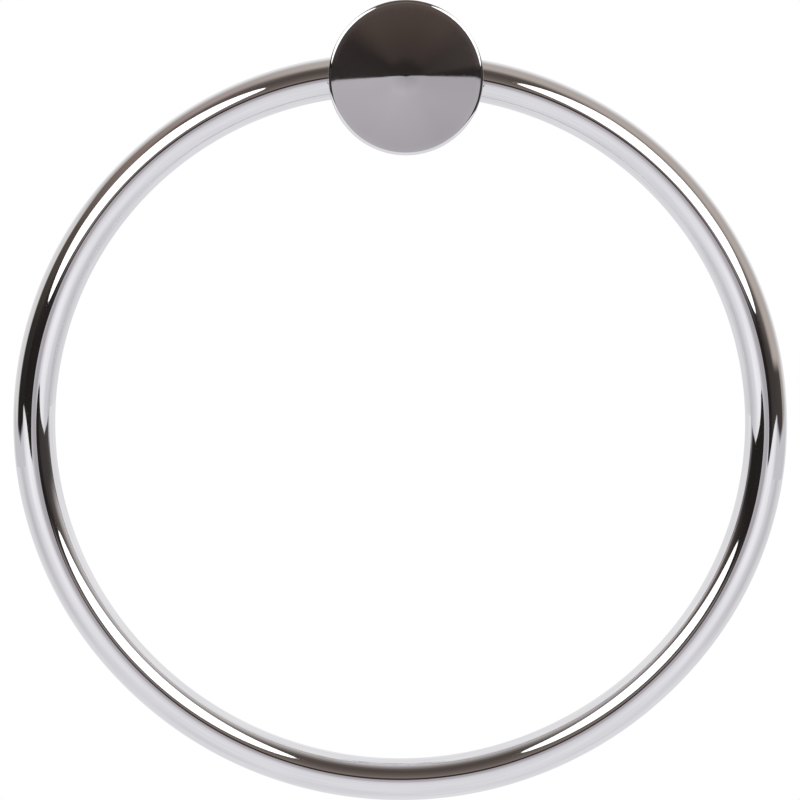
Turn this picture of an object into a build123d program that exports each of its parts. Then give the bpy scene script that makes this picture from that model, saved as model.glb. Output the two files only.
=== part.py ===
from build123d import *
from math import asin, degrees, radians, sqrt, tan
import os

os.makedirs("parts", exist_ok=True)

# Towel ring for a wall. The origin lies on the wall, at the axis of the post.
# X runs along the wall, Z is up, and the post stands out from the wall towards -Y.

# Ring: a round bar bent into a hoop of four arcs, a little wider than it is tall and flatter at the top.
# The top and bottom arcs are eased, which makes their radii larger than that of the sides.
bar_dia = 10.0
side_radius = 83.0
side_shift = 4.3
top_ease = 25.0
bottom_ease = 5.2
ring_lift = 1.0
ring_reach = 42.0
ring_end_past_screw = 3.0
ring_end_chamfer = 0.6

# Post: a neck with a disc in front
neck_dia = 26.0
neck_edge = 0.8
disc_dia = 36.7
disc_rim = 4.0
disc_gap = 2.0
disc_bevel_width = 0.75
disc_bevel_depth = 0.22
disc_front_round = 0.15
disc_back_round = 0.6
disc_root_round = 1.4
cone_slope = 4.0

# Wall bush
bush_dia = 18.0
bush_length = 22.0
bush_edge = 0.8
wall_screw_hole = 5.2
wall_screw_head = 10.4
wall_screw_cone = 90.0
groove_depth = 1.2
groove_floor = 3.0
groove_mouth = 5.4

# Screws
grub_dia = 5.0
grub_recess = 0.2
grub_key = 2.5
grub_key_depth = 2.2
grub_point = 2.6
set_dia = 4.0
set_length = 6.0
set_key = 2.0
set_key_depth = 1.8
set_point = 2.2
set_wall = 0.5
screw_edge = 0.4

# Clearances
bar_clearance = 0.2
bar_end_clearance = 0.3
bush_clearance = 0.1
bush_end_clearance = 1.5
thread_clearance = 0.08
seat_clearance = 0.04

# Places that follow from the sizes
bar_radius = bar_dia / 2
neck_radius = neck_dia / 2
disc_radius = disc_dia / 2
bush_radius = bush_dia / 2
socket_depth = bush_length + bush_end_clearance
disc_back_y = ring_reach + bar_radius + disc_gap
disc_edge_y = disc_back_y + disc_rim
face_radius = disc_radius - disc_bevel_width
cone_tip_y = disc_edge_y + face_radius * tan(radians(cone_slope))
groove_y = bush_length / 2
groove_radius = bush_radius - groove_depth
set_x = bush_radius - set_dia / 2 - set_wall
ring_end_x = set_x - ring_end_past_screw
top_radius = side_radius + top_ease
bottom_radius = side_radius + bottom_ease
top_turn = degrees(asin(side_shift / top_ease))
bottom_turn = degrees(asin(side_shift / bottom_ease))
side_turn = 180 - top_turn - bottom_turn
end_turn = degrees(asin(ring_end_x / top_radius))
top_centre = -sqrt(top_ease**2 - side_shift**2)
bottom_centre = sqrt(bottom_ease**2 - side_shift**2)
ring_drop = top_centre + top_radius - ring_lift
ring_plane = Plane(origin=(0, -ring_reach, -ring_drop), x_dir=(1, 0, 0), z_dir=(0, -1, 0))

# The holes for the ring run straight from the side of the post to the ends of the bar
end_z = ring_lift - top_radius + sqrt(top_radius**2 - ring_end_x**2)
mouth_z = ring_lift - top_radius + sqrt(top_radius**2 - neck_radius**2)
hole_run = neck_radius - ring_end_x
hole_rise = mouth_z - end_z
hole_x = ring_end_x - bar_end_clearance
hole_z = end_z - hole_rise * bar_end_clearance / hole_run

# Ring: the four arcs run into each other and are swept by the round bar.
# Both ends stop inside the post, with a web of the post left between them.
with BuildPart() as ring:
    with BuildLine(ring_plane) as ring_path:
        CenterArc((0, top_centre), top_radius, 90 - end_turn, end_turn - top_turn)
        CenterArc((side_shift, 0), side_radius, 90 - top_turn, -side_turn)
        CenterArc((0, bottom_centre), bottom_radius, bottom_turn - 90, -2 * bottom_turn)
        CenterArc((-side_shift, 0), side_radius, 270 - bottom_turn, -side_turn)
        CenterArc((0, top_centre), top_radius, 90 + top_turn, end_turn - top_turn)
    path = ring_path.wires()[0]
    with BuildSketch(Plane(origin=path @ 0, z_dir=path % 0)):
        Circle(bar_radius)
    sweep(path=path)
    end_faces = ring.faces().filter_by(GeomType.PLANE)
    chamfer(end_faces.edges(), ring_end_chamfer)
ring.part.label = "ring"
export_step(ring.part, "parts/ring.step")

# Post: one turned piece, the neck at the wall and in front the coned disc with a bevelled rim.
# Two blind holes take the ends of the ring, and the back is bored for the bush.
with BuildPart() as post:
    with BuildSketch(Plane.XY):
        with BuildLine():
            Polyline(
                (0, 0),
                (neck_radius, 0),
                (neck_radius, -disc_back_y),
                (disc_radius, -disc_back_y),
                (disc_radius, -disc_edge_y + disc_bevel_depth),
                (face_radius, -disc_edge_y),
                (0, -cone_tip_y),
                close=True,
            )
        make_face()
    revolve(axis=Axis.Y)
    rings_of_edges = post.edges().filter_by(GeomType.CIRCLE).group_by(Axis.Y)
    front_rim = rings_of_edges[1]
    back_rim = rings_of_edges[2].sort_by(SortBy.RADIUS)[-1]
    disc_root = rings_of_edges[2].sort_by(SortBy.RADIUS)[0]
    wall_edge = rings_of_edges[-1]
    fillet(front_rim, disc_front_round)
    fillet(back_rim, disc_back_round)
    fillet(disc_root, disc_root_round)
    chamfer(wall_edge, neck_edge)
    with BuildSketch(Plane.XZ):
        Circle(bush_radius + bush_clearance)
    extrude(amount=socket_depth, mode=Mode.SUBTRACT)
    for side in (1, -1):
        hole_floor = (side * hole_x, -ring_reach, hole_z)
        with BuildSketch(Plane(origin=hole_floor, z_dir=(side * hole_run, 0, hole_rise))):
            Circle(bar_radius + bar_clearance)
        extrude(amount=neck_radius, mode=Mode.SUBTRACT)
    with BuildSketch(Plane.XZ.offset(socket_depth)):
        with Locations((set_x, 0), (-set_x, 0)):
            Circle(set_dia / 2 + thread_clearance)
    extrude(amount=ring_reach - socket_depth, mode=Mode.SUBTRACT)
    with BuildSketch(Plane.XY.offset(-neck_dia)):
        with Locations((0, -groove_y)):
            Circle(grub_dia / 2 + thread_clearance)
    extrude(amount=neck_dia - groove_radius, mode=Mode.SUBTRACT)
post.part.label = "post"
export_step(post.part, "parts/post.step")

# Set screws: one on each end of the ring, turned in from the bore at the back of the post
set_tip_y = ring_reach - bar_radius - seat_clearance
with BuildPart() as ring_set_screws:
    with BuildSketch(Plane.XZ.offset(set_tip_y)):
        with Locations((set_x, 0), (-set_x, 0)):
            Circle(set_dia / 2)
    extrude(amount=-set_length)
    set_ends = ring_set_screws.edges().filter_by(GeomType.CIRCLE).group_by(Axis.Y)
    chamfer(set_ends[0], (set_dia - set_point) / 2)
    chamfer(set_ends[-1], screw_edge)
    with BuildSketch(Plane.XZ.offset(set_tip_y - set_length)):
        with Locations((set_x, 0), (-set_x, 0)):
            RegularPolygon(set_key / 2, 6, major_radius=False)
    extrude(amount=set_key_depth, mode=Mode.SUBTRACT)
ring_set_screws.part.label = "ring_set_screws"
export_step(ring_set_screws.part, "parts/ring_set_screws.step")

# Wall bush: a turned plug with a countersunk hole for the wall screw and a groove for the grub screw
with BuildPart() as wall_bush:
    with BuildSketch(Plane.XZ):
        Circle(bush_radius)
    extrude(amount=bush_length)
    chamfer(wall_bush.edges().group_by(Axis.Y)[0], bush_edge)
    with BuildSketch(Plane.XY):
        with BuildLine():
            Polyline(
                (groove_radius, -groove_y + groove_floor / 2),
                (bush_radius, -groove_y + groove_mouth / 2),
                (bush_dia, -groove_y + groove_mouth / 2),
                (bush_dia, -groove_y - groove_mouth / 2),
                (bush_radius, -groove_y - groove_mouth / 2),
                (groove_radius, -groove_y - groove_floor / 2),
                close=True,
            )
        make_face()
    revolve(axis=Axis.Y, mode=Mode.SUBTRACT)
    with Locations(Plane(origin=(0, -bush_length, 0), z_dir=(0, -1, 0))):
        CounterSinkHole(wall_screw_hole / 2, wall_screw_head / 2, counter_sink_angle=wall_screw_cone)
wall_bush.part.label = "wall_bush"
export_step(wall_bush.part, "parts/wall_bush.step")

# Grub screw: from under the post into the groove of the bush
grub_tip_z = -groove_radius - seat_clearance
grub_length = neck_radius - grub_recess + grub_tip_z
with BuildPart() as grub_screw:
    with BuildSketch(Plane.XY.offset(grub_tip_z)):
        with Locations((0, -groove_y)):
            Circle(grub_dia / 2)
    extrude(amount=-grub_length)
    grub_ends = grub_screw.edges().filter_by(GeomType.CIRCLE).group_by(Axis.Z)
    chamfer(grub_ends[-1], (grub_dia - grub_point) / 2)
    chamfer(grub_ends[0], screw_edge)
    with BuildSketch(Plane.XY.offset(grub_tip_z - grub_length)):
        with Locations((0, -groove_y)):
            RegularPolygon(grub_key / 2, 6, major_radius=False)
    extrude(amount=grub_key_depth, mode=Mode.SUBTRACT)
grub_screw.part.label = "grub_screw"
export_step(grub_screw.part, "parts/grub_screw.step")
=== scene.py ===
from math import asin, atan2, cos, degrees, pi, radians, sin, sqrt, tan

import bpy
from mathutils import Matrix, Quaternion, Vector


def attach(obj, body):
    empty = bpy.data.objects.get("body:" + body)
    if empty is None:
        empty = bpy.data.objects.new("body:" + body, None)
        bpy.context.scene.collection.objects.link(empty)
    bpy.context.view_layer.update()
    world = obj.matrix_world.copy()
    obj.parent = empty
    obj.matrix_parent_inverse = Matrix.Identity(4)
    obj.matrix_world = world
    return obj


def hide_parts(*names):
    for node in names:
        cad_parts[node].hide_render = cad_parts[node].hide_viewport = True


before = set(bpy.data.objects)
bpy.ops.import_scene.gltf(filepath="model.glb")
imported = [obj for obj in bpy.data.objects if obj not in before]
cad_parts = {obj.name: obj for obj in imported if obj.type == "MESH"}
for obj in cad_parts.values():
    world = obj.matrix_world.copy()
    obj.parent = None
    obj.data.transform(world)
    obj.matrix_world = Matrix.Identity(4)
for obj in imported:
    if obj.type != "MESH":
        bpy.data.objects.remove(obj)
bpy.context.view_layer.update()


# Wall bush: a short brass plug, turned on a lathe, that a countersunk screw holds on the wall.
# Its back lies on the wall, and a groove round its middle takes the point of the grub screw.
BUSH_SIDES = 128
BUSH_RADIUS = 0.009
BUSH_LENGTH = 0.022
BUSH_EDGE = 0.0008
BUSH_CREASE = radians(30)
BUSH_MERGE = 1e-6
SCREW_HOLE_RADIUS = 0.0026
COUNTERSINK_RADIUS = 0.0052
GROOVE_DEPTH = 0.0012
GROOVE_FLOOR = 0.003
GROOVE_MOUTH = 0.0054


def start_piece(name):
    """Names the primitive just added, puts its place into its mesh and opens it with all of it selected."""
    piece = bpy.context.object
    piece.name = name
    piece.data.name = name
    bpy.ops.object.transform_apply(location=True, rotation=True, scale=True)
    bpy.ops.object.mode_set(mode="EDIT")
    bpy.ops.mesh.select_all(action="SELECT")
    return piece


def turn_on(start_y, start_radius, steps):
    """Draws the open loop of a turned piece from step to step: each is a place along Y and a radius."""
    y, radius = start_y, start_radius
    for next_y, next_radius in steps:
        bpy.ops.mesh.extrude_edges_move(TRANSFORM_OT_translate={"value": (0, next_y - y, 0)})
        scale = next_radius / radius
        bpy.ops.transform.resize(value=(scale, 1, scale), center_override=(0, next_y, 0))
        y, radius = next_y, next_radius


def merge_doubles(reach):
    """Joins the points of the open piece that lie together."""
    bpy.ops.mesh.select_all(action="SELECT")
    bpy.ops.mesh.remove_doubles(threshold=reach)


def face_outwards():
    """Turns all faces of the open piece outwards."""
    bpy.ops.mesh.select_all(action="SELECT")
    bpy.ops.mesh.normals_make_consistent(inside=False)


def select_edges(piece, chosen):
    """Selects the edges whose two ends both pass the test."""
    bpy.ops.mesh.select_all(action="DESELECT")
    bpy.ops.mesh.select_mode(type="EDGE")
    bpy.ops.object.mode_set(mode="OBJECT")
    points = [vertex.co for vertex in piece.data.vertices]
    for edge in piece.data.edges:
        edge.select = all(chosen(points[i]) for i in edge.vertices)
    bpy.ops.object.mode_set(mode="EDIT")


def loop_at(y, radius):
    """The test for a loop of a turned piece, by its place along Y and its radius."""
    reach = 2e-5
    return lambda p: abs(p.y - y) < reach and abs(sqrt(p.x ** 2 + p.z ** 2) - radius) < reach


bpy.ops.object.select_all(action="DESELECT")
bpy.ops.mesh.primitive_circle_add(
    vertices=BUSH_SIDES, radius=SCREW_HOLE_RADIUS, location=(0, 0, 0), rotation=(pi / 2, 0, 0)
)
wall_bush = start_piece("turned_wall_bush")
groove_y = -BUSH_LENGTH / 2
countersink_depth = COUNTERSINK_RADIUS - SCREW_HOLE_RADIUS
turn_on(0, SCREW_HOLE_RADIUS, [
    (0, BUSH_RADIUS),
    (groove_y + GROOVE_MOUTH / 2, BUSH_RADIUS),
    (groove_y + GROOVE_FLOOR / 2, BUSH_RADIUS - GROOVE_DEPTH),
    (groove_y - GROOVE_FLOOR / 2, BUSH_RADIUS - GROOVE_DEPTH),
    (groove_y - GROOVE_MOUTH / 2, BUSH_RADIUS),
    (-BUSH_LENGTH, BUSH_RADIUS),
    (-BUSH_LENGTH, COUNTERSINK_RADIUS),
    (-BUSH_LENGTH + countersink_depth, SCREW_HOLE_RADIUS),
    (0, SCREW_HOLE_RADIUS),
])
merge_doubles(BUSH_MERGE)
face_outwards()
select_edges(wall_bush, loop_at(-BUSH_LENGTH, BUSH_RADIUS))
bpy.ops.mesh.bevel(offset=BUSH_EDGE, segments=1, affect="EDGES")
bpy.ops.object.mode_set(mode="OBJECT")
bpy.ops.object.shade_smooth_by_angle(angle=BUSH_CREASE)


def polish_group():
    """Marks that polishing leaves on metal: a slow ripple, fine rubbed lines and a faint tarnish."""
    group = bpy.data.node_groups.new("polish_marks", "ShaderNodeTree")
    for name in ("Roughness", "Rubbing", "Ripple Scale", "Line Scale"):
        group.interface.new_socket(name, in_out="INPUT", socket_type="NodeSocketFloat")
    group.interface.new_socket("Place", in_out="INPUT", socket_type="NodeSocketVector")
    for name in ("Roughness", "Height", "Tarnish"):
        group.interface.new_socket(name, in_out="OUTPUT", socket_type="NodeSocketFloat")
    nodes, links = group.nodes, group.links
    given = nodes.new("NodeGroupInput")
    ripple = nodes.new("ShaderNodeTexNoise")
    ripple.inputs["Detail"].default_value = 1.0
    links.new(given.outputs["Place"], ripple.inputs["Vector"])
    links.new(given.outputs["Ripple Scale"], ripple.inputs["Scale"])
    lines = nodes.new("ShaderNodeTexNoise")
    lines.inputs["Detail"].default_value = 4.0
    lines.inputs["Roughness"].default_value = 0.65
    links.new(given.outputs["Place"], lines.inputs["Vector"])
    links.new(given.outputs["Line Scale"], lines.inputs["Scale"])
    rubbed = nodes.new("ShaderNodeMapRange")
    rubbed.inputs["From Min"].default_value = 0.42
    rubbed.inputs["From Max"].default_value = 0.75
    links.new(lines.outputs["Fac"], rubbed.inputs["Value"])
    rough = nodes.new("ShaderNodeMath")
    rough.operation = "MULTIPLY_ADD"
    links.new(rubbed.outputs["Result"], rough.inputs[0])
    links.new(given.outputs["Rubbing"], rough.inputs[1])
    links.new(given.outputs["Roughness"], rough.inputs[2])
    tarnish = nodes.new("ShaderNodeMapRange")
    tarnish.inputs["From Min"].default_value = 0.35
    tarnish.inputs["From Max"].default_value = 0.70
    links.new(ripple.outputs["Fac"], tarnish.inputs["Value"])
    out = nodes.new("NodeGroupOutput")
    links.new(rough.outputs["Value"], out.inputs["Roughness"])
    links.new(ripple.outputs["Fac"], out.inputs["Height"])
    links.new(tarnish.outputs["Result"], out.inputs["Tarnish"])
    return group


def polished_metal(name, clean, dull, roughness, rubbing, ripple_scale, ripple_height, line_scale, stretch):
    """A metal whose tone, roughness and ripple come from its polishing; stretch draws the marks out."""
    metal = bpy.data.materials.new(name)
    metal.use_nodes = True
    nodes, links = metal.node_tree.nodes, metal.node_tree.links
    shader = nodes["Principled BSDF"]
    shader.inputs["Metallic"].default_value = 1.0
    place = nodes.new("ShaderNodeTexCoord")
    drawn_out = nodes.new("ShaderNodeMapping")
    drawn_out.inputs["Scale"].default_value = stretch
    links.new(place.outputs["Object"], drawn_out.inputs["Vector"])
    marks = nodes.new("ShaderNodeGroup")
    marks.node_tree = bpy.data.node_groups.get("polish_marks") or polish_group()
    marks.inputs["Roughness"].default_value = roughness
    marks.inputs["Rubbing"].default_value = rubbing
    marks.inputs["Ripple Scale"].default_value = ripple_scale
    marks.inputs["Line Scale"].default_value = line_scale
    links.new(drawn_out.outputs["Vector"], marks.inputs["Place"])
    colour = nodes.new("ShaderNodeMix")
    colour.data_type = "RGBA"
    colour.inputs["A"].default_value = (*clean, 1)
    colour.inputs["B"].default_value = (*dull, 1)
    links.new(marks.outputs["Tarnish"], colour.inputs["Factor"])
    links.new(colour.outputs["Result"], shader.inputs["Base Color"])
    links.new(marks.outputs["Roughness"], shader.inputs["Roughness"])
    bump = nodes.new("ShaderNodeBump")
    bump.inputs["Strength"].default_value = 1.0
    bump.inputs["Distance"].default_value = ripple_height
    links.new(marks.outputs["Height"], bump.inputs["Height"])
    links.new(bump.outputs["Normal"], shader.inputs["Normal"])
    return metal


brass = polished_metal(
    "turned_brass",
    clean=(0.80, 0.62, 0.31),
    dull=(0.66, 0.48, 0.22),
    roughness=0.28,
    rubbing=0.18,
    ripple_scale=900,
    ripple_height=2e-5,
    line_scale=2500,
    stretch=(1, 0.15, 1),
)
wall_bush.data.materials.append(brass)
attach(wall_bush, "root")
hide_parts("wall_bush")


# Post: one piece turned from brass bar and chrome plated, a neck with a disc in front.
# The disc's face is a very flat cone with a rounded rim; the back is bored to go over the bush.
# Holes in its sides take the ends of the ring, and smaller ones the screws that hold ring and post.
POST_SIDES = 256
NECK_RADIUS = 0.013
NECK_EDGE = 0.0008
SOCKET_RADIUS = 0.0091
SOCKET_DEPTH = 0.0235
DISC_RADIUS = 0.01835
DISC_BACK_Y = -0.049
DISC_EDGE_Y = -0.053
CONE_SLOPE = radians(4.0)
CONE_CROWN = 0.36
POINT_SHARE = 0.28
FACE_LOOPS = (
    0.0170, 0.0164, 0.0145, 0.0125, 0.0105, 0.0085, 0.0068, 0.0056, 0.0046,
    0.0037, 0.0029, 0.0022, 0.0016, 0.0011, 0.0007, 0.0004, 0.00015, 0.00003,
)
RIM_STEPS = 6
RIM_WIDTH = 0.0006
RIM_TILT_IN = radians(9.0)
RIM_TILT_OUT = radians(33.0)
RIM_ROUND = 0.00012
RIM_LAND = 0.0002
RIM_SHOULDER = 0.00005
BACK_ROUND = 0.0006
ROOT_ROUND = 0.0014
ROOT_LAND = 0.0018
RING_REACH = 0.042
RING_LIFT = 0.001
RING_END_X = 0.0035
TOP_RADIUS = 0.108
HOLE_SIDES = 96
RING_HOLE_RADIUS = 0.0052
RING_HOLE_X = 0.0032
SET_HOLE_RADIUS = 0.00208
SET_HOLE_X = 0.0065
SET_HOLE_SPARE = 0.002
GRUB_HOLE_RADIUS = 0.00258
GRUB_Y = -0.011
CHROME_CREASE = radians(35)

bpy.ops.object.select_all(action="DESELECT")
bpy.ops.mesh.primitive_circle_add(
    vertices=POST_SIDES, radius=SOCKET_RADIUS, location=(0, -SOCKET_DEPTH, 0), rotation=(pi / 2, 0, 0)
)
post = start_piece("coned_disc_post")
rim_inner = DISC_RADIUS - RIM_WIDTH - RIM_ROUND * (1 - sin(RIM_TILT_OUT))
rim = [(DISC_EDGE_Y, rim_inner)]
for step in range(RIM_STEPS):
    tilt = RIM_TILT_IN + (RIM_TILT_OUT - RIM_TILT_IN) * (step + 0.5) / RIM_STEPS
    last_y, last_radius = rim[-1]
    rim.append((last_y + RIM_WIDTH / RIM_STEPS * tan(tilt), last_radius + RIM_WIDTH / RIM_STEPS))
last_y, last_radius = rim[-1]
round_y = last_y + RIM_ROUND * cos(RIM_TILT_OUT)
round_radius = last_radius - RIM_ROUND * sin(RIM_TILT_OUT)
for step in range(1, RIM_STEPS + 1):
    tilt = RIM_TILT_OUT + (pi / 2 - RIM_TILT_OUT) * step / RIM_STEPS
    rim.append((round_y - RIM_ROUND * cos(tilt), round_radius + RIM_ROUND * sin(tilt)))
rim.append((round_y + RIM_LAND, DISC_RADIUS))
rim.reverse()
face = [(DISC_EDGE_Y, rim_inner)]
for radius in (rim_inner - RIM_SHOULDER, *FACE_LOOPS):
    last_y, last_radius = face[-1]
    share = (last_radius + radius) / 2 / rim_inner
    slope = CONE_SLOPE * (1 + CONE_CROWN * (share - 0.5)) * min(1, sqrt(share / POINT_SHARE))
    face.append((last_y - (last_radius - radius) * tan(slope), radius))
turn_on(-SOCKET_DEPTH, SOCKET_RADIUS, [
    (0, SOCKET_RADIUS),
    (0, NECK_RADIUS - NECK_EDGE),
    (-NECK_EDGE, NECK_RADIUS),
    (DISC_BACK_Y + ROOT_LAND, NECK_RADIUS),
    (DISC_BACK_Y, NECK_RADIUS),
    (DISC_BACK_Y, DISC_RADIUS),
] + rim + face[1:])
bpy.ops.mesh.edge_face_add()
select_edges(post, loop_at(-SOCKET_DEPTH, SOCKET_RADIUS))
bpy.ops.mesh.edge_face_add()
select_edges(post, loop_at(DISC_BACK_Y, DISC_RADIUS))
bpy.ops.mesh.bevel(offset=BACK_ROUND, segments=6, affect="EDGES")
select_edges(post, loop_at(DISC_BACK_Y, NECK_RADIUS))
bpy.ops.mesh.bevel(offset=ROOT_ROUND, segments=8, affect="EDGES")
face_outwards()
bpy.ops.object.mode_set(mode="OBJECT")


def drill(piece, radius, depth, middle, turn):
    """Cuts a round hole into a piece, by its length, its middle and how its axis is turned from Z."""
    bpy.ops.object.select_all(action="DESELECT")
    bpy.ops.mesh.primitive_cylinder_add(
        vertices=HOLE_SIDES, radius=radius, depth=depth, location=middle, rotation=turn
    )
    bit = bpy.context.object
    bpy.ops.object.select_all(action="DESELECT")
    piece.select_set(True)
    bpy.context.view_layer.objects.active = piece
    bpy.ops.object.modifier_add(type="BOOLEAN")
    cut = piece.modifiers[-1]
    cut.operation = "DIFFERENCE"
    cut.object = bit
    bpy.ops.object.modifier_apply(modifier=cut.name)
    bpy.data.objects.remove(bit)


def ring_top_z(x):
    """Height of the bar's middle above the post's axis, along the hoop's flat top arc."""
    return RING_LIFT - TOP_RADIUS + sqrt(TOP_RADIUS ** 2 - x ** 2)


hole_rise = (ring_top_z(NECK_RADIUS) - ring_top_z(RING_END_X)) / (NECK_RADIUS - RING_END_X)
hole_turn = atan2(1, hole_rise)
hole_length = NECK_RADIUS
hole_mid_x = RING_HOLE_X + hole_length / 2 * sin(hole_turn)
hole_mid_z = ring_top_z(RING_END_X) + hole_rise * (hole_mid_x - RING_END_X)
for side in (1, -1):
    hole_middle = (side * hole_mid_x, -RING_REACH, hole_mid_z)
    drill(post, RING_HOLE_RADIUS, hole_length, hole_middle, (0, side * hole_turn, 0))
set_hole_length = RING_REACH - SOCKET_DEPTH + SET_HOLE_SPARE
for side in (1, -1):
    set_hole_middle = (side * SET_HOLE_X, -(SOCKET_DEPTH + RING_REACH) / 2, 0)
    drill(post, SET_HOLE_RADIUS, set_hole_length, set_hole_middle, (pi / 2, 0, 0))
drill(post, GRUB_HOLE_RADIUS, NECK_RADIUS, (0, GRUB_Y, -NECK_RADIUS), (0, 0, 0))
bpy.ops.object.shade_smooth_by_angle(angle=CHROME_CREASE)

chrome = polished_metal(
    "polished_chrome",
    clean=(0.87, 0.87, 0.89),
    dull=(0.85, 0.85, 0.87),
    roughness=0.02,
    rubbing=0.03,
    ripple_scale=60,
    ripple_height=4e-6,
    line_scale=1400,
    stretch=(1, 1, 1),
)
post.data.materials.append(chrome)
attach(post, "root")
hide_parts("post")


# Ring: a round brass bar bent into a hoop on a former and chrome plated.
# Four arcs run into each other; the hoop is flatter at the top, where its ends go into the post.
BAR_SIDES = 96
BAR_RADIUS = 0.005
SIDE_SHIFT = 0.0043
TOP_EASE = 0.025
BOTTOM_EASE = 0.0052
END_CHAMFER = 0.0006
STEPS_PER_DEGREE = 1.5
FEWEST_STEPS = 8
RING_MERGE = 1e-7

top_turn = asin(SIDE_SHIFT / TOP_EASE)
bottom_turn = asin(SIDE_SHIFT / BOTTOM_EASE)
side_turn = pi - top_turn - bottom_turn
end_turn = asin(RING_END_X / TOP_RADIUS)
ring_middle_z = RING_LIFT - TOP_RADIUS + sqrt(TOP_EASE ** 2 - SIDE_SHIFT ** 2)
top_centre = (0, -RING_REACH, RING_LIFT - TOP_RADIUS)
right_centre = (SIDE_SHIFT, -RING_REACH, ring_middle_z)
bottom_centre = (0, -RING_REACH, ring_middle_z + sqrt(BOTTOM_EASE ** 2 - SIDE_SHIFT ** 2))
left_centre = (-SIDE_SHIFT, -RING_REACH, ring_middle_z)

bpy.ops.object.select_all(action="DESELECT")
bpy.ops.mesh.primitive_circle_add(
    vertices=BAR_SIDES,
    radius=BAR_RADIUS,
    location=(RING_END_X, -RING_REACH, ring_top_z(RING_END_X)),
    rotation=(0, pi / 2 + end_turn, 0),
)
ring = start_piece("bent_bar_ring")
for centre, turn in (
    (top_centre, top_turn - end_turn),
    (right_centre, side_turn),
    (bottom_centre, 2 * bottom_turn),
    (left_centre, side_turn),
    (top_centre, top_turn - end_turn),
):
    steps = max(FEWEST_STEPS, round(degrees(turn) * STEPS_PER_DEGREE))
    bpy.ops.mesh.spin(steps=steps, angle=-turn, center=centre, axis=(0, 1, 0))
merge_doubles(RING_MERGE)
bpy.ops.mesh.select_all(action="DESELECT")
bpy.ops.mesh.select_non_manifold()
bpy.ops.mesh.fill_holes(sides=0)
bpy.ops.mesh.select_mode(type="FACE")
bpy.ops.mesh.select_all(action="DESELECT")
bpy.ops.mesh.select_face_by_sides(number=BAR_SIDES)
bpy.ops.mesh.region_to_loop()
bpy.ops.mesh.bevel(offset=END_CHAMFER, segments=1, affect="EDGES")
face_outwards()
bpy.ops.object.mode_set(mode="OBJECT")
bpy.ops.object.shade_smooth_by_angle(angle=CHROME_CREASE)

ring.data.materials.append(chrome)
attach(ring, "root")
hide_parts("ring")


# Set screws and grub screw: plain stainless screws with a hexagon socket, as bought.
# Two hold the ends of the ring inside the post, and one holds the post on the bush from below.
stainless = polished_metal(
    "plain_stainless",
    clean=(0.58, 0.57, 0.56),
    dull=(0.47, 0.46, 0.45),
    roughness=0.22,
    rubbing=0.2,
    ripple_scale=1500,
    ripple_height=1e-5,
    line_scale=4000,
    stretch=(1, 1, 1),
)
for screw in ("ring_set_screws", "grub_screw"):
    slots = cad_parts[screw].data.materials
    slots.clear()
    slots.append(stainless)


# Floor: a pale painted disc well below the ring, which mirrors don't show.
# It fades into white towards its edge, so that no horizon shows, and it is clear from below.
FLOOR_SIDES = 128
FLOOR_RADIUS = 3.6
FLOOR_DROP = 0.6
FADE_START = 2.2
FADE_END = 3.55
FLOOR_TONE = (0.82, 0.82, 0.82)


def rise(value, limits):
    """Goes smoothly from 0 to 1 as the value goes from the first limit to the second.

    This and the shader helpers after it work in the tree that nodes and links name at the time.
    """
    step = nodes.new("ShaderNodeMapRange")
    step.interpolation_type = "SMOOTHSTEP"
    step.inputs["From Min"].default_value = limits[0]
    step.inputs["From Max"].default_value = limits[1]
    links.new(value, step.inputs["Value"])
    return step.outputs["Result"]


def either_shader(factor, first, second):
    """Goes from one shader to the other as the factor goes from 0 to 1."""
    mix = nodes.new("ShaderNodeMixShader")
    for socket, value in zip(mix.inputs, (factor, first, second)):
        links.new(value, socket)
    return mix.outputs["Shader"]


bpy.ops.object.select_all(action="DESELECT")
bpy.ops.mesh.primitive_circle_add(
    vertices=FLOOR_SIDES, radius=FLOOR_RADIUS, fill_type="NGON", location=(0, 0, -FLOOR_DROP)
)
floor = start_piece("floor")
bpy.ops.object.mode_set(mode="OBJECT")
floor.visible_glossy = False
floor_paint = bpy.data.materials.new("pale_floor")
floor_paint.use_nodes = True
nodes, links = floor_paint.node_tree.nodes, floor_paint.node_tree.links
painted = nodes["Principled BSDF"]
painted.inputs["Base Color"].default_value = (*FLOOR_TONE, 1)
painted.inputs["Roughness"].default_value = 0.9
place = nodes.new("ShaderNodeTexCoord")
distance = nodes.new("ShaderNodeVectorMath")
distance.operation = "LENGTH"
links.new(place.outputs["Object"], distance.inputs[0])
fade = rise(distance.outputs["Value"], (FADE_START, FADE_END))
white = nodes.new("ShaderNodeEmission")
into_white = either_shader(fade, painted.outputs["BSDF"], white.outputs["Emission"])
underside = nodes.new("ShaderNodeNewGeometry")
clear = nodes.new("ShaderNodeBsdfTransparent")
one_sided = either_shader(underside.outputs["Backfacing"], into_white, clear.outputs["BSDF"])
links.new(one_sided, nodes["Material Output"].inputs["Surface"])
floor.data.materials.append(floor_paint)


# Soft boxes: two oval lights up to the right and the left, whose reflections are the ring's white streaks.
# Each has its turn away from straight in front, its tilt from level, and half its length and width as angles.
BOX_DISTANCE = 1.6
BOX_LIGHT = 1.5

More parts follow.
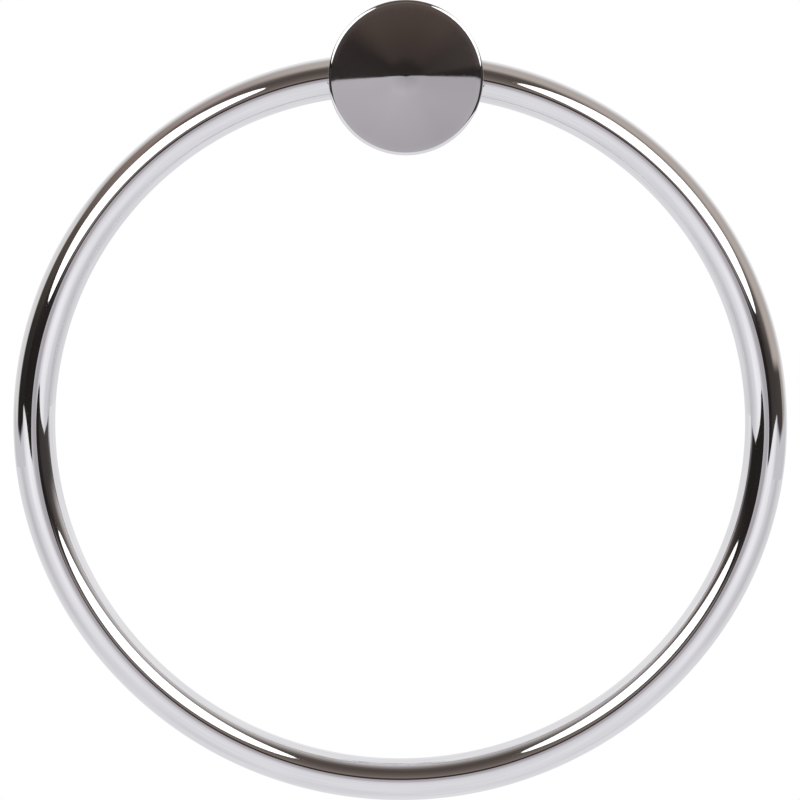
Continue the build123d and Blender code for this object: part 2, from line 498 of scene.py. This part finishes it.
ring_middle = Vector((0, -RING_REACH, ring_middle_z))
for side, turn, tilt, half_length, half_width, name in (
    (1, radians(44.4), radians(43.6), radians(24.6), radians(19.1), "right_soft_box"),
    (-1, radians(44.2), radians(41.1), radians(22.4), radians(17.6), "left_soft_box"),
):
    lamp = bpy.data.lights.new(name, "AREA")
    lamp.shape = "ELLIPSE"
    lamp.size = 2 * BOX_DISTANCE * tan(half_length)
    lamp.size_y = 2 * BOX_DISTANCE * tan(half_width)
    lamp_area = pi / 4 * lamp.size * lamp.size_y
    lamp.energy = BOX_LIGHT * pi * lamp_area
    box = bpy.data.objects.new(name, lamp)
    bpy.context.scene.collection.objects.link(box)
    away = Vector((side * sin(turn) * cos(tilt), -cos(turn), sin(turn) * sin(tilt)))
    along = Vector((side * cos(turn) * cos(tilt), sin(turn), cos(turn) * sin(tilt)))
    box.location = ring_middle + BOX_DISTANCE * away
    box.rotation_euler = Matrix((along, away.cross(along), away)).transposed().to_euler()
    box.visible_camera = False


# Bent card: a glowing strip bent round the top of the ring, which shows in mirrors only.
# The ring's outer side mirrors its painted tones as a painted reflection along its soft edge, which is darker
# to the front and low on the left.
# Its tones go by height, 0 at the ring's middle and 1 at the top, and by millimetres from its back edge.
CARD_SIDES = 180
CARD_RADIUS = 0.107
CARD_MM = 28
CARD_WIDTH = CARD_MM / 1000
CARD_LOW = radians(8)
RIGHT_END = (0.14, 0.19)
LEFT_BACK_DIMS = (0.48, 0.66)
LEFT_FRONT_DIMS = (0.66, 0.80)
LEFT_TOP = (0.90, 0.975)
LEFT_TO_RIGHT = (-0.01, 0.01)
PALE_END = (0.62, 0.61, 0.63)
PALE_HEIGHT = (-0.075, -0.030)
PALE_TILT = -0.155
PALE_BOW = -0.16
PALE_BOW_MIDDLE = 0.72


def bent_strip(name, sides, radius, width, middle):
    """Adds a strip bent round Y that shows in mirrors only, and opens it in edit mode."""
    bpy.ops.object.select_all(action="DESELECT")
    bpy.ops.mesh.primitive_cylinder_add(
        vertices=sides,
        radius=radius,
        depth=width,
        end_fill_type="NOTHING",
        location=middle,
        rotation=(pi / 2, 0, 0),
    )
    strip = start_piece(name)
    strip.visible_camera = False
    strip.visible_diffuse = False
    strip.visible_shadow = False
    return strip


def cut_away(point, direction):
    """Cuts the open piece at a point and takes away what lies in the direction."""
    bpy.ops.mesh.select_all(action="SELECT")
    bpy.ops.mesh.bisect(plane_co=point, plane_no=direction, clear_outer=True)


def glowing_paint(name):
    """A paint that shows its own tone under any light; returns it with the socket of its tone."""
    paint = bpy.data.materials.new(name)
    paint.use_nodes = True
    tree = paint.node_tree
    tree.nodes.clear()
    glow = tree.nodes.new("ShaderNodeEmission")
    out = tree.nodes.new("ShaderNodeOutputMaterial")
    tree.links.new(glow.outputs["Emission"], out.inputs["Surface"])
    return paint, glow.inputs["Color"]


def feed(socket, value):
    """Gives a socket a number or a colour, or links it to what another node puts out."""
    if isinstance(value, (int, float)):
        socket.default_value = value
    elif isinstance(value, tuple):
        socket.default_value = (*value, 1)
    else:
        links.new(value, socket)


def shade(operation, *values):
    """One step of arithmetic in a shader."""
    step = nodes.new("ShaderNodeMath")
    step.operation = operation
    for socket, value in zip(step.inputs, values):
        feed(socket, value)
    return step.outputs["Value"]


def tones(position, stops, span):
    """Colours or greys by a position that goes from 0 to 1; the stops are given in parts of the span."""
    ramp = nodes.new("ShaderNodeValToRGB")
    links.new(position, ramp.inputs["Fac"])
    points = ramp.color_ramp.elements
    while len(points) < len(stops):
        points.new(0.5)
    for point, (stop, tone) in zip(points, stops):
        point.position = stop / span
        point.color = (*tone, 1) if isinstance(tone, tuple) else (tone, tone, tone, 1)
    return ramp.outputs["Color"]


def blend(factor, first, second, way="MIX"):
    """Puts the second tone over the first, in one of Blender's ways of mixing."""
    mix = nodes.new("ShaderNodeMix")
    mix.data_type = "RGBA"
    mix.blend_type = way
    feed(mix.inputs["Factor"], factor)
    feed(mix.inputs["A"], first)
    feed(mix.inputs["B"], second)
    return mix.outputs["Result"]


card = bent_strip("bent_card", CARD_SIDES, CARD_RADIUS, CARD_WIDTH, ring_middle)
cut_away((0, 0, ring_middle_z - CARD_RADIUS * sin(CARD_LOW)), (0, 0, -1))
bpy.ops.object.mode_set(mode="OBJECT")
card_paint, card_tone = glowing_paint("card_painted_reflection_tones")
nodes, links = card_paint.node_tree.nodes, card_paint.node_tree.links
place = nodes.new("ShaderNodeTexCoord")
parts = nodes.new("ShaderNodeSeparateXYZ")
links.new(place.outputs["Object"], parts.inputs["Vector"])
height = shade("DIVIDE", shade("SUBTRACT", parts.outputs["Z"], ring_middle_z), CARD_RADIUS)
card_back_y = -RING_REACH + CARD_WIDTH / 2
front = shade("DIVIDE", shade("SUBTRACT", card_back_y, parts.outputs["Y"]), CARD_WIDTH)
# The glowing tones below are painted reflection: the ring's outer side shows them as its soft edge.
right_high = tones(front, [
    (0.6, (0.66, 0.64, 0.62)),
    (6.5, (0.57, 0.54, 0.525)),
    (10.6, (0.48, 0.43, 0.40)),
    (14.0, (0.49, 0.43, 0.39)),
    (20.3, (0.49, 0.43, 0.39)),
    (23.0, (0.43, 0.37, 0.335)),
    (25.9, (0.28, 0.24, 0.215)),
    (28.0, (0.16, 0.135, 0.12)),
], CARD_MM)
right_low = tones(front, [
    (0.0, (0.70, 0.69, 0.69)),
    (6.5, (0.58, 0.56, 0.55)),
    (9.3, (0.44, 0.40, 0.37)),
    (12.8, (0.37, 0.33, 0.30)),
    (14.3, (0.30, 0.26, 0.24)),
    (15.3, (0.07, 0.06, 0.055)),
    (28.0, (0.055, 0.048, 0.044)),
], CARD_MM)
left_side = tones(height, [
    (0.0, (0.018, 0.016, 0.015)),
    (0.25, (0.035, 0.030, 0.027)),
    (0.40, (0.078, 0.063, 0.054)),
    (0.50, (0.105, 0.080, 0.066)),
    (0.71, (0.25, 0.19, 0.165)),
    (0.87, (0.42, 0.35, 0.33)),
    (1.0, (0.45, 0.39, 0.37)),
], 1)
left_front = tones(front, [
    (17.2, 1.0),
    (20.1, 0.88),
    (23.0, (0.60, 0.59, 0.58)),
    (25.9, (0.31, 0.30, 0.29)),
    (28.0, (0.20, 0.19, 0.18)),
], CARD_MM)
left_back_high = tones(front, [
    (0.6, (0.64, 0.62, 0.60)),
    (6.5, (0.565, 0.54, 0.52)),
    (10.6, (0.43, 0.40, 0.38)),
    (12.5, 0.0),
], CARD_MM)
left_back_low = tones(front, [
    (0.0, (0.74, 0.73, 0.72)),
    (13.0, (0.74, 0.72, 0.70)),
    (15.8, 0.0),
], CARD_MM)
left_back = blend(rise(height, LEFT_BACK_DIMS), left_back_low, left_back_high)
left = blend(rise(height, LEFT_FRONT_DIMS), left_side, left_front, "MULTIPLY")
left = blend(rise(height, LEFT_TOP), left, right_high)
left = blend(1.0, left, left_back, "LIGHTEN")
right = blend(rise(height, RIGHT_END), right_low, right_high)
both_sides = blend(rise(parts.outputs["X"], LEFT_TO_RIGHT), left, right)
low_end = shade("MULTIPLY_ADD", parts.outputs["X"], PALE_TILT, height)
bow = shade("ABSOLUTE", shade("SUBTRACT", front, PALE_BOW_MIDDLE))
low_end = shade("MULTIPLY_ADD", bow, PALE_BOW, low_end)
feed(card_tone, blend(rise(low_end, PALE_HEIGHT), PALE_END, both_sides))
card.data.materials.append(card_paint)


# Flags: two small glowing strips of near-black tone bent close round the disc's rim, one on each side, which
# show in mirrors only.
# The rim mirrors them as thin dark crescents of painted dark reflection; each narrows from its back edge to a
# point lower down.
FLAG_SIDES = 360
FLAG_RADIUS = 0.0187
FLAG_BACK_Y = -0.0531
FLAG_WIDTH = 0.0034
FLAG_TOP_Z = 0.0020
FLAG_TONE = (0.045, 0.038, 0.036)

# The flags glow at a near-black tone, a painted dark reflection that the rim shows as thin crescents.
flag_paint, flag_tone = glowing_paint("flag_painted_dark_reflection")
feed(flag_tone, FLAG_TONE)
for side, name, narrow_from_z, narrow_to_z in (
    (1, "right_flag", -0.0075, -0.0150),
    (-1, "left_flag", -0.0035, -0.0110),
):
    flag_middle = (0, FLAG_BACK_Y - FLAG_WIDTH / 2, 0)
    flag = bent_strip(name, FLAG_SIDES, FLAG_RADIUS, FLAG_WIDTH, flag_middle)
    taper = FLAG_WIDTH / (narrow_from_z - narrow_to_z)
    cut_away((0, 0, FLAG_TOP_Z), (0, 0, 1))
    cut_away((0, 0, 0), (-side, 0, 0))
    cut_away((0, FLAG_BACK_Y, narrow_from_z), (0, 1, -taper))
    bpy.ops.object.mode_set(mode="OBJECT")
    flag.data.materials.append(flag_paint)


# Room: what the metal mirrors, a dark wall above and a pale floor below; everything else sees plain white.
# Its tones go by degrees from straight in front (off) and by how far up or down round that way (steep).
# Within about 10 degrees they are what the disc's face shows, and further off what the ring shows.
HALF_TURN = 180
LEAST_SPREAD = 1e-5
RIGHT_STEEP = (0.10, 0.24)
LEFT_STEEP = (0.10, 0.40)
HIGH_STEEP = (0.50, 0.85)
DOWN_STEEP = (-0.35, -0.90)
HAZE_STEEP = (0.06, 0.26)
WALLS_MEET = (-0.15, 0.15)
DISC_DRIFT = 0.40
DISC_SLANT = 0.0192
DISC_DROP = 0.0013
LEAN = 0.0195
LEAN_REACH = 0.17
LEAN_RISE = -0.003
HAZE_SINK = -0.6
HORIZON_SOFTNESS = 0.003
HORIZON_BAND = (-1.0, 1.0)
MOTTLE_SCALE = 5.0
MOTTLE_DETAIL = 2.0
MOTTLE = 0.28

room = bpy.data.worlds.new("room")
bpy.context.scene.world = room
room.use_nodes = True
nodes, links = room.node_tree.nodes, room.node_tree.links
nodes.clear()
direction = nodes.new("ShaderNodeTexCoord")
parts = nodes.new("ShaderNodeSeparateXYZ")
links.new(direction.outputs["Generated"], parts.inputs["Vector"])
across, depth, up = parts.outputs["X"], parts.outputs["Y"], parts.outputs["Z"]
off = shade("DIVIDE", shade("ARCCOSINE", shade("MULTIPLY", depth, -1.0)), pi)
spread_squared = shade("SUBTRACT", 1.0, shade("MULTIPLY", depth, depth))
spread = shade("SQRT", shade("MAXIMUM", spread_squared, LEAST_SPREAD))
steep = shade("DIVIDE", up, spread)
side_right = tones(off, [
    (0, (0.032, 0.028, 0.026)),
    (12, (0.020, 0.017, 0.016)),
    (25, (0.020, 0.017, 0.016)),
    (33, (0.046, 0.040, 0.037)),
    (70, (0.062, 0.054, 0.050)),
    (82, (0.078, 0.068, 0.062)),
    (86, (0.20, 0.18, 0.17)),
    (91, (0.58, 0.56, 0.56)),
    (96, (0.80, 0.79, 0.80)),
], HALF_TURN)
side_left = tones(off, [
    (0, (0.032, 0.028, 0.026)),
    (9.9, (0.031, 0.026, 0.024)),
    (15, (0.018, 0.015, 0.014)),
    (70, (0.018, 0.016, 0.015)),
    (78, (0.030, 0.026, 0.024)),
    (83, (0.11, 0.09, 0.085)),
    (89, (0.45, 0.42, 0.42)),
    (95, (0.80, 0.79, 0.80)),
], HALF_TURN)
wall_right = tones(off, [
    (0, (0.028, 0.023, 0.021)),
    (6, (0.026, 0.021, 0.020)),
    (9.9, (0.055, 0.044, 0.041)),
    (11.2, (0.25, 0.215, 0.20)),
    (16, (0.23, 0.20, 0.185)),
    (23, (0.034, 0.028, 0.026)),
    (33, (0.032, 0.027, 0.025)),
    (42, (0.070, 0.060, 0.055)),
    (60, (0.13, 0.11, 0.10)),
    (66, (0.28, 0.25, 0.235)),
    (78, (0.45, 0.42, 0.41)),
    (84, (0.57, 0.55, 0.55)),
    (90, (0.75, 0.74, 0.75)),
    (97, (0.84, 0.83, 0.84)),
], HALF_TURN)
wall_left = tones(off, [
    (0, (0.028, 0.023, 0.021)),
    (6, (0.025, 0.021, 0.020)),
    (9.9, (0.031, 0.025, 0.023)),
    (11.2, (0.24, 0.205, 0.19)),
    (16, (0.21, 0.18, 0.165)),
    (22, (0.024, 0.020, 0.018)),
    (50, (0.032, 0.027, 0.024)),
    (60, (0.055, 0.045, 0.040)),
    (72, (0.10, 0.08, 0.07)),
    (78, (0.20, 0.165, 0.15)),
    (84, (0.50, 0.46, 0.45)),
    (91, (0.78, 0.77, 0.78)),
    (97, (0.84, 0.83, 0.84)),
], HALF_TURN)
wall_high = tones(off, [
    (0, (0.028, 0.023, 0.021)),
    (6, (0.027, 0.022, 0.020)),
    (9.9, (0.078, 0.057, 0.048)),
    (11.2, (0.22, 0.18, 0.165)),
    (22, (0.15, 0.12, 0.105)),
    (45, (0.080, 0.065, 0.057)),
    (60, (0.11, 0.09, 0.08)),
    (66, (0.20, 0.175, 0.16)),
    (72, (0.29, 0.26, 0.245)),
    (78, (0.39, 0.36, 0.35)),
    (84, (0.54, 0.52, 0.52)),
    (90, (0.76, 0.75, 0.76)),
    (97, (0.84, 0.83, 0.84)),
], HALF_TURN)
floor_side = tones(off, [
    (0, (0.36, 0.34, 0.36)),
    (4, (0.42, 0.40, 0.42)),
    (6.3, (0.48, 0.455, 0.48)),
    (9.9, (0.46, 0.435, 0.46)),
    (11.2, (0.58, 0.56, 0.58)),
    (15, (0.71, 0.69, 0.71)),
    (25, (0.92, 0.91, 0.93)),
    (42, (0.94, 0.93, 0.95)),
    (62, (0.72, 0.71, 0.73)),
    (85, (0.58, 0.57, 0.59)),
    (105, (0.68, 0.67, 0.69)),
    (125, (0.77, 0.76, 0.78)),
], HALF_TURN)
floor_down = tones(off, [
    (0, (0.36, 0.34, 0.36)),
    (4, (0.44, 0.415, 0.44)),
    (6.3, (0.49, 0.465, 0.49)),
    (9.9, (0.42, 0.395, 0.42)),
    (11.2, (0.62, 0.60, 0.62)),
    (16, (0.71, 0.69, 0.71)),
    (24, (0.78, 0.77, 0.79)),
    (45, (0.81, 0.80, 0.82)),
    (70, (0.77, 0.76, 0.78)),
    (90, (0.75, 0.74, 0.76)),
    (120, (0.80, 0.79, 0.81)),
], HALF_TURN)
right = blend(rise(steep, RIGHT_STEEP), side_right, wall_right)
left = blend(rise(steep, LEFT_STEEP), side_left, wall_left)
wall = blend(rise(across, WALLS_MEET), left, right)
wall = blend(rise(steep, HIGH_STEEP), wall, wall_high)
on_disc = tones(off, [(9.9, 1.0), (11.2, 0.0)], HALF_TURN)
drift = shade("MULTIPLY", shade("MULTIPLY", across, DISC_DRIFT), on_disc)
ground = blend(rise(steep, DOWN_STEEP), floor_side, floor_down)
ground = blend(1.0, ground, shade("SUBTRACT", 1.0, drift), "MULTIPLY")

# The wall and the floor meet at a horizon that droops away from the front, rises to a low hill in the middle
# and leans a little to one side; from about 10 to 36 degrees off a haze softens it.
droop = tones(off, [
    (9.8, 0.0),
    (13, 0.050),
    (18, 0.085),
    (25, 0.092),
    (40, 0.055),
    (60, 0.016),
    (78, 0.040),
    (96, 0.090),
], HALF_TURN)
hill = tones(off, [
    (0, 0.033),
    (3.3, 0.023),
    (4.85, 0.017),
    (7.24, 0.011),
    (8.1, 0.0045),
    (9.5, 0.0007),
    (11, 0.0),
], HALF_TURN)
haze = tones(off, [
    (9.6, 0.0),
    (13, 0.075),
    (26, 0.075),
    (36, 0.010),
], HALF_TURN)
haze = shade("MULTIPLY", haze, rise(steep, HAZE_STEEP))
near_across = shade("MINIMUM", shade("MAXIMUM", across, -LEAN_REACH), LEAN_REACH)
lean = shade("MULTIPLY_ADD", near_across, LEAN, LEAN_RISE)
slant = shade("MULTIPLY", on_disc, shade("MULTIPLY_ADD", across, DISC_SLANT, DISC_DROP))
above = shade("SUBTRACT", shade("ADD", up, droop), shade("ADD", lean, slant))
above = shade("SUBTRACT", above, hill)
above = shade("MULTIPLY_ADD", haze, HAZE_SINK, above)
above = shade("DIVIDE", above, shade("ADD", haze, HORIZON_SOFTNESS))
mottle = nodes.new("ShaderNodeTexNoise")
mottle.inputs["Scale"].default_value = MOTTLE_SCALE
mottle.inputs["Detail"].default_value = MOTTLE_DETAIL
links.new(direction.outputs["Generated"], mottle.inputs["Vector"])
uneven = shade("MULTIPLY_ADD", mottle.outputs["Fac"], MOTTLE, 1 - MOTTLE / 2)
mirrored_tone = blend(rise(above, HORIZON_BAND), ground, wall)
mirrored_tone = blend(1.0, mirrored_tone, uneven, "MULTIPLY")
plain = nodes.new("ShaderNodeBackground")
plain.inputs["Color"].default_value = (1, 1, 1, 1)
mirrored = nodes.new("ShaderNodeBackground")
links.new(mirrored_tone, mirrored.inputs["Color"])
ray = nodes.new("ShaderNodeLightPath")
in_mirrors = ray.outputs["Is Glossy Ray"]
seen = either_shader(in_mirrors, plain.outputs["Background"], mirrored.outputs["Background"])
out = nodes.new("ShaderNodeOutputWorld")
links.new(seen, out.inputs["Surface"])


# Camera: a long lens straight in front, raised by a few degrees and rolled by about one.
# It is aimed a little above the middle of the ring, so that disc and ring fill the picture.
CAMERA_DISTANCE = 1.5
CAMERA_RISE = radians(2.9)
CAMERA_ROLL = radians(0.95)
SENSOR_WIDTH = 36
PICTURE_WIDTH = 0.19085
AIM_SHIFT = -0.00013
AIM_RISE = 0.00557

aim_point = ring_middle + Vector((AIM_SHIFT, 0, AIM_RISE))
camera_data = bpy.data.cameras.new("camera")
camera_data.sensor_width = SENSOR_WIDTH
camera_data.lens = SENSOR_WIDTH * CAMERA_DISTANCE / PICTURE_WIDTH
camera = bpy.data.objects.new("camera", camera_data)
bpy.context.scene.collection.objects.link(camera)
camera.location = aim_point + CAMERA_DISTANCE * Vector((0, -cos(CAMERA_RISE), sin(CAMERA_RISE)))
aimed = (aim_point - camera.location).to_track_quat("-Z", "Y")
camera.rotation_euler = (aimed @ Quaternion((0, 0, 1), CAMERA_ROLL)).to_euler()
bpy.context.scene.camera = camera
bpy.context.scene.view_settings.view_transform = "Standard"
